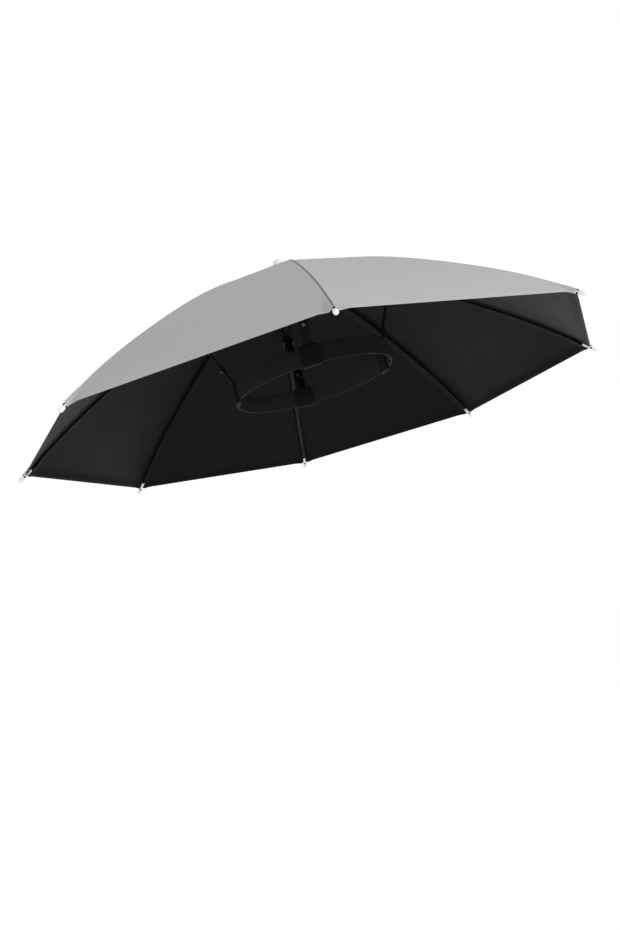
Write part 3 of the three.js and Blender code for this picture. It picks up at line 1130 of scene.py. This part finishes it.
@dataclass
class Ribs:
    """Eight channel ribs under the seams, each with a white tip tied to the cloth's corner."""

    form: CanopyForm
    finishes: Finishes
    width: float = 4.6 * MM
    height: float = 3.2 * MM
    groove_width: float = 2.4 * MM
    groove_depth: float = 1.9 * MM
    edge: float = 0.4 * MM
    steps: int = 48
    hub_radius: float = 15 * MM
    shank_radius: float = 1.8 * MM
    neck_radius: float = 1.5 * MM
    head_radius: float = 2.4 * MM
    tip_length: float = 19 * MM
    tip_inside: float = 9.5 * MM
    neck_length: float = 1.9 * MM
    tip_lift: float = math.radians(8)
    tip_sides: int = 28
    tip_gap: float = 0.1 * MM
    tip_rounding: float = 1.0 * MM
    thread_radius: float = 0.28 * MM
    thread_turns: int = 3
    # How far one turn lies from the next, in radii of the thread.
    thread_pitch: float = 1.9
    thread_from_neck: float = 0.35 * MM
    thread_sides: int = 6
    thread_steps: int = 12
    knot_radius: float = 1.15 * MM
    knot_from_neck: float = 0.7 * MM
    knot_rise: float = 0.35 * MM
    knot_flatness: float = 0.75

    def build(self) -> None:
        """All the ribs, tips and their threads."""
        for i in range(1, self.form.gores + 1):
            turn = self.form.centre @ Matrix.Rotation(self.form.azimuth(i), 4, "Z")
            self._rib(i, turn)
            self._tip(i, turn)

    def _rib_middle(self) -> float:
        """How far the middle of a rib lies under the seam."""
        fall = self.width / 2 * math.tan(self.form.half_angle)
        return self.form.wall + self.form.clear + fall + self.height / 2

    def _outline(self) -> list[tuple[float, float]]:
        """The channel's section, open downwards."""
        side, top, groove = self.width / 2, self.height / 2, self.groove_width / 2
        roof = self.groove_depth - top
        right = [(side, top), (side, -top), (groove, -top), (groove, roof)]
        return right + [(-x, y) for x, y in reversed(right)]

    def _rib(self, i: int, turn: Matrix) -> None:
        """One rib."""
        form = self.form
        slope = form.slope(form.corner_radius)
        start = self.hub_radius + form.clear
        gap = form.clear + self.shank_radius * math.sin(self.tip_lift)
        end = form.corner_radius - (self.tip_inside + gap) / math.hypot(1, slope)
        depth = self._rib_middle()
        radii = [start + (end - start) * n / self.steps for n in range(self.steps + 1)]
        bm = bmesh.new()
        sweep(bm, self._outline(), [form.seam(radius).matrix(depth) for radius in radii])
        soften(bm, self.edge, sharp_degrees=40.0)
        bmesh.ops.transform(bm, matrix=turn, verts=bm.verts)
        to_piece(f"rib_channel_{i}", bm, [self.finishes.steel], [f"rib_{i}"])

    def _tip_profile(self) -> list[tuple[float, float]]:
        """Half the section of a tip, from its inner end to its outer end: radius, and place along it."""
        neck = self.tip_inside
        shoulder = neck + self.neck_length
        head = self.head_radius
        return [
            (0.0, 0.0),
            (self.shank_radius, 0.0),
            (self.shank_radius, neck - 0.3 * MM),
            (self.neck_radius, neck + 0.1 * MM),
            (self.neck_radius, shoulder),
            (0.86 * head, shoulder + 1.0 * MM),
            (head, shoulder + 2.9 * MM),
            (head, self.tip_length - 0.9 * head),
            (0.72 * head, self.tip_length - 0.26 * head),
            (0.0, self.tip_length),
        ]

    def _tip(self, i: int, turn: Matrix) -> None:
        """One tip, the thread under its neck, and the knot on the cloth's corner."""
        form = self.form
        fall = (self.shank_radius + self.tip_gap) / math.cos(form.half_angle) - form.tip_ridge
        depth = form.folded + fall + self.tip_inside * math.sin(self.tip_lift)
        corner = form.seam(form.corner_radius)
        axes = corner.matrix(depth, self.tip_lift)
        axes.translation -= corner.tangent * self.tip_inside
        axes = turn @ axes
        profile = rounded(self._tip_profile(), self.tip_rounding)
        bm = turned(profile, self.tip_sides, axes)
        nodes = [f"ferrule_{i}"]
        to_piece(f"rib_tip_{i}", bm, [self.finishes.white], nodes, sharp_degrees=50.0)
        bm = bmesh.new()
        for n in range(self.thread_turns):
            place = self.tip_inside + self.thread_from_neck + self.thread_radius * self.thread_pitch * n
            self._thread_loop(bm, axes @ Matrix.Translation((0, 0, place)))
        above = self.neck_radius + self.knot_rise
        knot = Matrix.Translation((0, above, self.tip_inside + self.knot_from_neck))
        shape = Matrix.Diagonal((1, self.knot_flatness, 1, 1))
        place = axes @ knot @ shape
        bmesh.ops.create_icosphere(bm, subdivisions=2, radius=self.knot_radius, matrix=place)
        thread = [self.finishes.dark_thread]
        to_piece(f"tip_thread_{i}", bm, thread, sharp_degrees=ALL_SMOOTH)

    def _thread_loop(self, bm: bmesh.types.BMesh, matrix: Matrix) -> None:
        """One thread that passes under a tip's neck, from one side to the other."""
        lay = Matrix.Translation((self.neck_radius + 0.7 * self.thread_radius, 0, 0))
        lay = lay @ Matrix.Rotation(math.pi / 2, 4, "X")
        before = set(bm.verts)
        made = bmesh.ops.create_circle(
            bm, cap_ends=True, segments=self.thread_sides, radius=self.thread_radius, matrix=lay
        )
        face = made["verts"][0].link_faces[0]
        spin(bm, [face, *face.edges, *face.verts], -math.pi, self.thread_steps)
        loop = [v for v in bm.verts if v not in before]
        bmesh.ops.transform(bm, matrix=matrix, verts=loop)
        bmesh.ops.recalc_face_normals(bm, faces=list({f for v in loop for f in v.link_faces}))


# The crown


@dataclass
class Crown:
    """The knob over the apex, whose stud goes down into the hub."""

    form: CanopyForm
    finishes: Finishes
    nodes: Mapping[str, bpy.types.Object]
    flange_radius: float = 13 * MM
    flange_height: float = 2 * MM
    body_radius: float = 10.2 * MM
    top_radius: float = 5.2 * MM
    cone_height: float = 16 * MM
    height: float = 21 * MM
    pin_radius: float = 4 * MM
    rounding: float = 0.7 * MM
    hub_edge: float = 0.4 * MM
    steps: int = 56

    def build(self) -> None:
        """The knob and the hub."""
        form = self.form
        low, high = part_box("top_cap")
        _, hub_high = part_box("hub")
        base = high.z - self.height
        stud = form.apex_hole - 2 * form.clear
        pin = self.pin_radius - form.clear
        profile = [
            (0.0, low.z),
            (pin, low.z),
            (pin, hub_high.z + form.clear),
            (stud, hub_high.z + form.clear),
            (stud, base),
            (self.flange_radius, base),
            (self.flange_radius, base + self.flange_height),
            (self.body_radius, base + 2 * self.flange_height),
            (self.body_radius, high.z - self.cone_height),
            (self.top_radius, high.z),
            (0.0, high.z),
        ]
        axis = Matrix.Translation((0.0, form.behind_band, 0.0))
        bm = turned(rounded(profile, self.rounding), self.steps, axis)
        to_piece("crown_knob", bm, [self.finishes.white], ["top_cap"])
        hub = softened_copy(self.nodes["hub"], self.hub_edge)
        to_piece("crown_hub", hub, [self.finishes.black], ["hub"])


# The headband


@dataclass
class Headband:
    """A closed band of woven elastic, in the oval that it takes when worn."""

    finishes: Finishes
    wall: float = 1.8 * MM
    cords: int = 15
    cord_height: float = 0.14 * MM
    rounding: float = 0.7 * MM
    steps: int = 208

    def _profile(self, height: float) -> list[tuple[float, float]]:
        """The band's section: offset from its middle line, and height."""
        half = self.wall / 2
        top = height / 2
        face = []
        samples = self.cords * 4
        for i in range(samples + 1):
            z = (i / samples * 2 - 1) * (top - self.rounding)
            scallop = self.cord_height * (1 - abs(math.sin(math.pi * self.cords * i / samples)))
            face.append((half - scallop, z))
        back = 0.3 * self.rounding
        cap = [(half - back, top - back), (0.0, top), (back - half, top - back)]
        outer = face + cap
        return outer + [(-x, -z) for x, z in outer]

    def build(self) -> bpy.types.Object:
        """The band, mapped along the length of webbing that it is cut from.

        Returns:
            The band's object.
        """
        low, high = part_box("headband")
        half_x = (high.x - low.x - self.wall) / 2
        half_y = (high.y - low.y - self.wall) / 2
        height = high.z - low.z
        rows = [(1 + offset, z) for offset, z in self._profile(height)]
        bm = spun(rows, self.steps, closed=True)
        length = self._arc(half_x, half_y)
        laid: dict[bmesh.types.BMVert, tuple[int, float]] = {}
        for vert in bm.verts:
            angle = math.atan2(vert.co.y, vert.co.x)
            offset = math.hypot(vert.co.x, vert.co.y) - 1
            laid[vert] = (round(angle / (2 * math.pi) * self.steps) % self.steps, vert.co.z)
            middle = Vector((half_x * math.cos(angle), half_y * math.sin(angle), vert.co.z))
            outward = Vector((middle.x / half_x**2, middle.y / half_y**2, 0.0)).normalized()
            vert.co = middle + outward * offset
        band = bm.loops.layers.uv.new("band")
        for face in bm.faces:
            turns = [laid[v][0] for v in face.verts]
            wraps = max(turns) - min(turns) > self.steps / 2
            for loop in face.loops:
                turn, z = laid[loop.vert]
                turn += self.steps if wraps and turn == 0 else 0
                loop[band].uv = (turn / self.steps * length, z)
        bmesh.ops.recalc_face_normals(bm, faces=bm.faces)
        elastic = [self.finishes.elastic]
        piece = to_piece("headband_elastic", bm, elastic, ["headband"], sharp_degrees=60.0)
        sliders = [f"slider_loop_{i}" for i in range(1, Hangers.count + 1)]
        log.info("headband_elastic: %.3f m long and %.3f m wide", length, height)
        return piece

    @staticmethod
    def _arc(half_x: float, half_y: float, steps: int = 720) -> float:
        """The length of the band's middle line."""
        angles = [2 * math.pi * i / steps for i in range(steps + 1)]
        points = [Vector((half_x * math.cos(angle), half_y * math.sin(angle))) for angle in angles]
        return sum((b - a).length for a, b in zip(points, points[1:]))


# Hangers


@dataclass
class Hangers:
    """Four hangers: a slider on the band, a strut, a rivet that joins them, and a clip on the rib."""

    finishes: Finishes
    nodes: Mapping[str, bpy.types.Object]
    count: int = 4
    slider_edge: float = 0.45 * MM
    strut_edge: float = 0.4 * MM
    clip_edge: float = 0.3 * MM
    rivet_edge: float = 0.35 * MM

    def build(self) -> None:
        """All the pieces of the four hangers."""
        looks = self.finishes
        kinds = [
            ("slider", "slider_loop", self.slider_edge, looks.black, Slot.BLACK),
            ("strut", "hanger_strut", self.strut_edge, looks.black, Slot.BLACK),
            ("rivet", "hanger_rivet", self.rivet_edge, looks.nickel, Slot.RIVET),
            ("rib_clip", "rib_saddle", self.clip_edge, looks.steel, Slot.RIB),
        ]
        for i in range(1, self.count + 1):
            for node, name, edge, look, slot in kinds:
                bm = softened_copy(self.nodes[f"{node}_{i}"], edge)
                to_piece(f"{name}_{i}", bm, [look], [f"{node}_{i}"])


# The studio


@dataclass(frozen=True)
class Lamp:
    """A soft rectangular light, aimed at the hat."""

    name: str
    place: tuple[float, float, float]
    size: float
    power: float

    def build(self) -> None:
        """Adds the light."""
        data = bpy.data.lights.new(self.name, "AREA")
        data.shape = "SQUARE"
        data.size = self.size
        data.energy = self.power
        lamp = bpy.data.objects.new(self.name, data)
        lamp.location = self.place
        lamp.rotation_euler = (-Vector(self.place)).to_track_quat("-Z", "Y").to_euler()
        bpy.context.scene.collection.objects.link(lamp)


@dataclass(frozen=True)
class Studio:
    """A white surround, a pale floor, soft lights, and the camera at the photograph's viewpoint."""

    eye: tuple[float, float, float] = (-0.77966, -0.62737, -0.26310)
    forward: tuple[float, float, float] = (0.75260, 0.63768, 0.16418)
    up: tuple[float, float, float] = (0.03362, -0.28622, 0.95758)
    lens: float = 35.74
    sensor: float = 36.0
    nearest: float = 0.01
    farthest: float = 200.0
    floor_height: float = -2.3
    floor_size: float = 60.0
    surround: float = 1.0
    lamps: tuple[Lamp, ...] = (
        Lamp("front_light", (0.3, -2.9, 0.2), 1.2, 77.0),
        Lamp("side_light", (-2.6, -1.2, -0.4), 1.2, 28.0),
        Lamp("left_low_light", (-1.8, 1.6, -0.7), 0.9, 15.0),
        Lamp("back_light", (2.4, 1.7, -0.9), 0.9, 4.0),
        Lamp("back_low_light", (1.7, 1.9, -1.5), 0.9, 6.0),
    )

    def build(self) -> None:
        """The whole studio."""
        scene = bpy.context.scene
        scene.view_settings.view_transform = "Standard"
        world = bpy.data.worlds.new("white_surround")
        world.use_nodes = True
        background = world.node_tree.nodes["Background"]
        background.inputs["Color"].default_value = (1.0, 1.0, 1.0, 1.0)
        background.inputs["Strength"].default_value = self.surround
        scene.world = world
        for lamp in self.lamps:
            lamp.build()
        self._floor()
        self._camera()

    def _floor(self) -> None:
        """A wide pale floor."""
        bm = bmesh.new()
        place = Matrix.Translation((0, 0, self.floor_height))
        bmesh.ops.create_grid(bm, x_segments=1, y_segments=1, size=self.floor_size / 2, matrix=place)
        mesh = bpy.data.meshes.new("studio_floor")
        bm.to_mesh(mesh)
        bm.free()
        recipe = Recipe("floor_white", {"Roughness": 0.9, "Specular IOR Level": 0.0})
        tone = recipe.object_noise(0.4, 1)
        recipe.feed("Base Color", recipe.mix(tone, grey(0.99), grey(1.0)))
        mesh.materials.append(recipe.material)
        floor = bpy.data.objects.new("studio_floor", mesh)
        bpy.context.scene.collection.objects.link(floor)

    def _camera(self) -> None:
        """The camera."""
        data = bpy.data.cameras.new("camera")
        data.lens = self.lens
        data.sensor_width = self.sensor
        data.clip_start = self.nearest
        data.clip_end = self.farthest
        camera = bpy.data.objects.new("camera", data)
        back = -Vector(self.forward).normalized()
        right = Vector(self.up).cross(back).normalized()
        axes = Matrix((right, back.cross(right), back)).transposed().to_4x4()
        axes.translation = self.eye
        camera.matrix_world = axes
        bpy.context.scene.collection.objects.link(camera)
        bpy.context.scene.camera = camera


def main() -> None:
    """Builds the studio and the hat's pieces in order."""
    logging.basicConfig(level=logging.INFO, format="%(message)s")
    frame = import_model()
    Studio().build()
    finishes = Finishes.make()
    form = CanopyForm()
    nodes = frame["nodes"]
    Ribs(form, finishes).build()
    Canopy(form, finishes).build()
    Crown(form, finishes, nodes).build()
    Hangers(finishes, nodes).build()
    Headband(finishes).build()


if __name__ == "__main__":
    main()
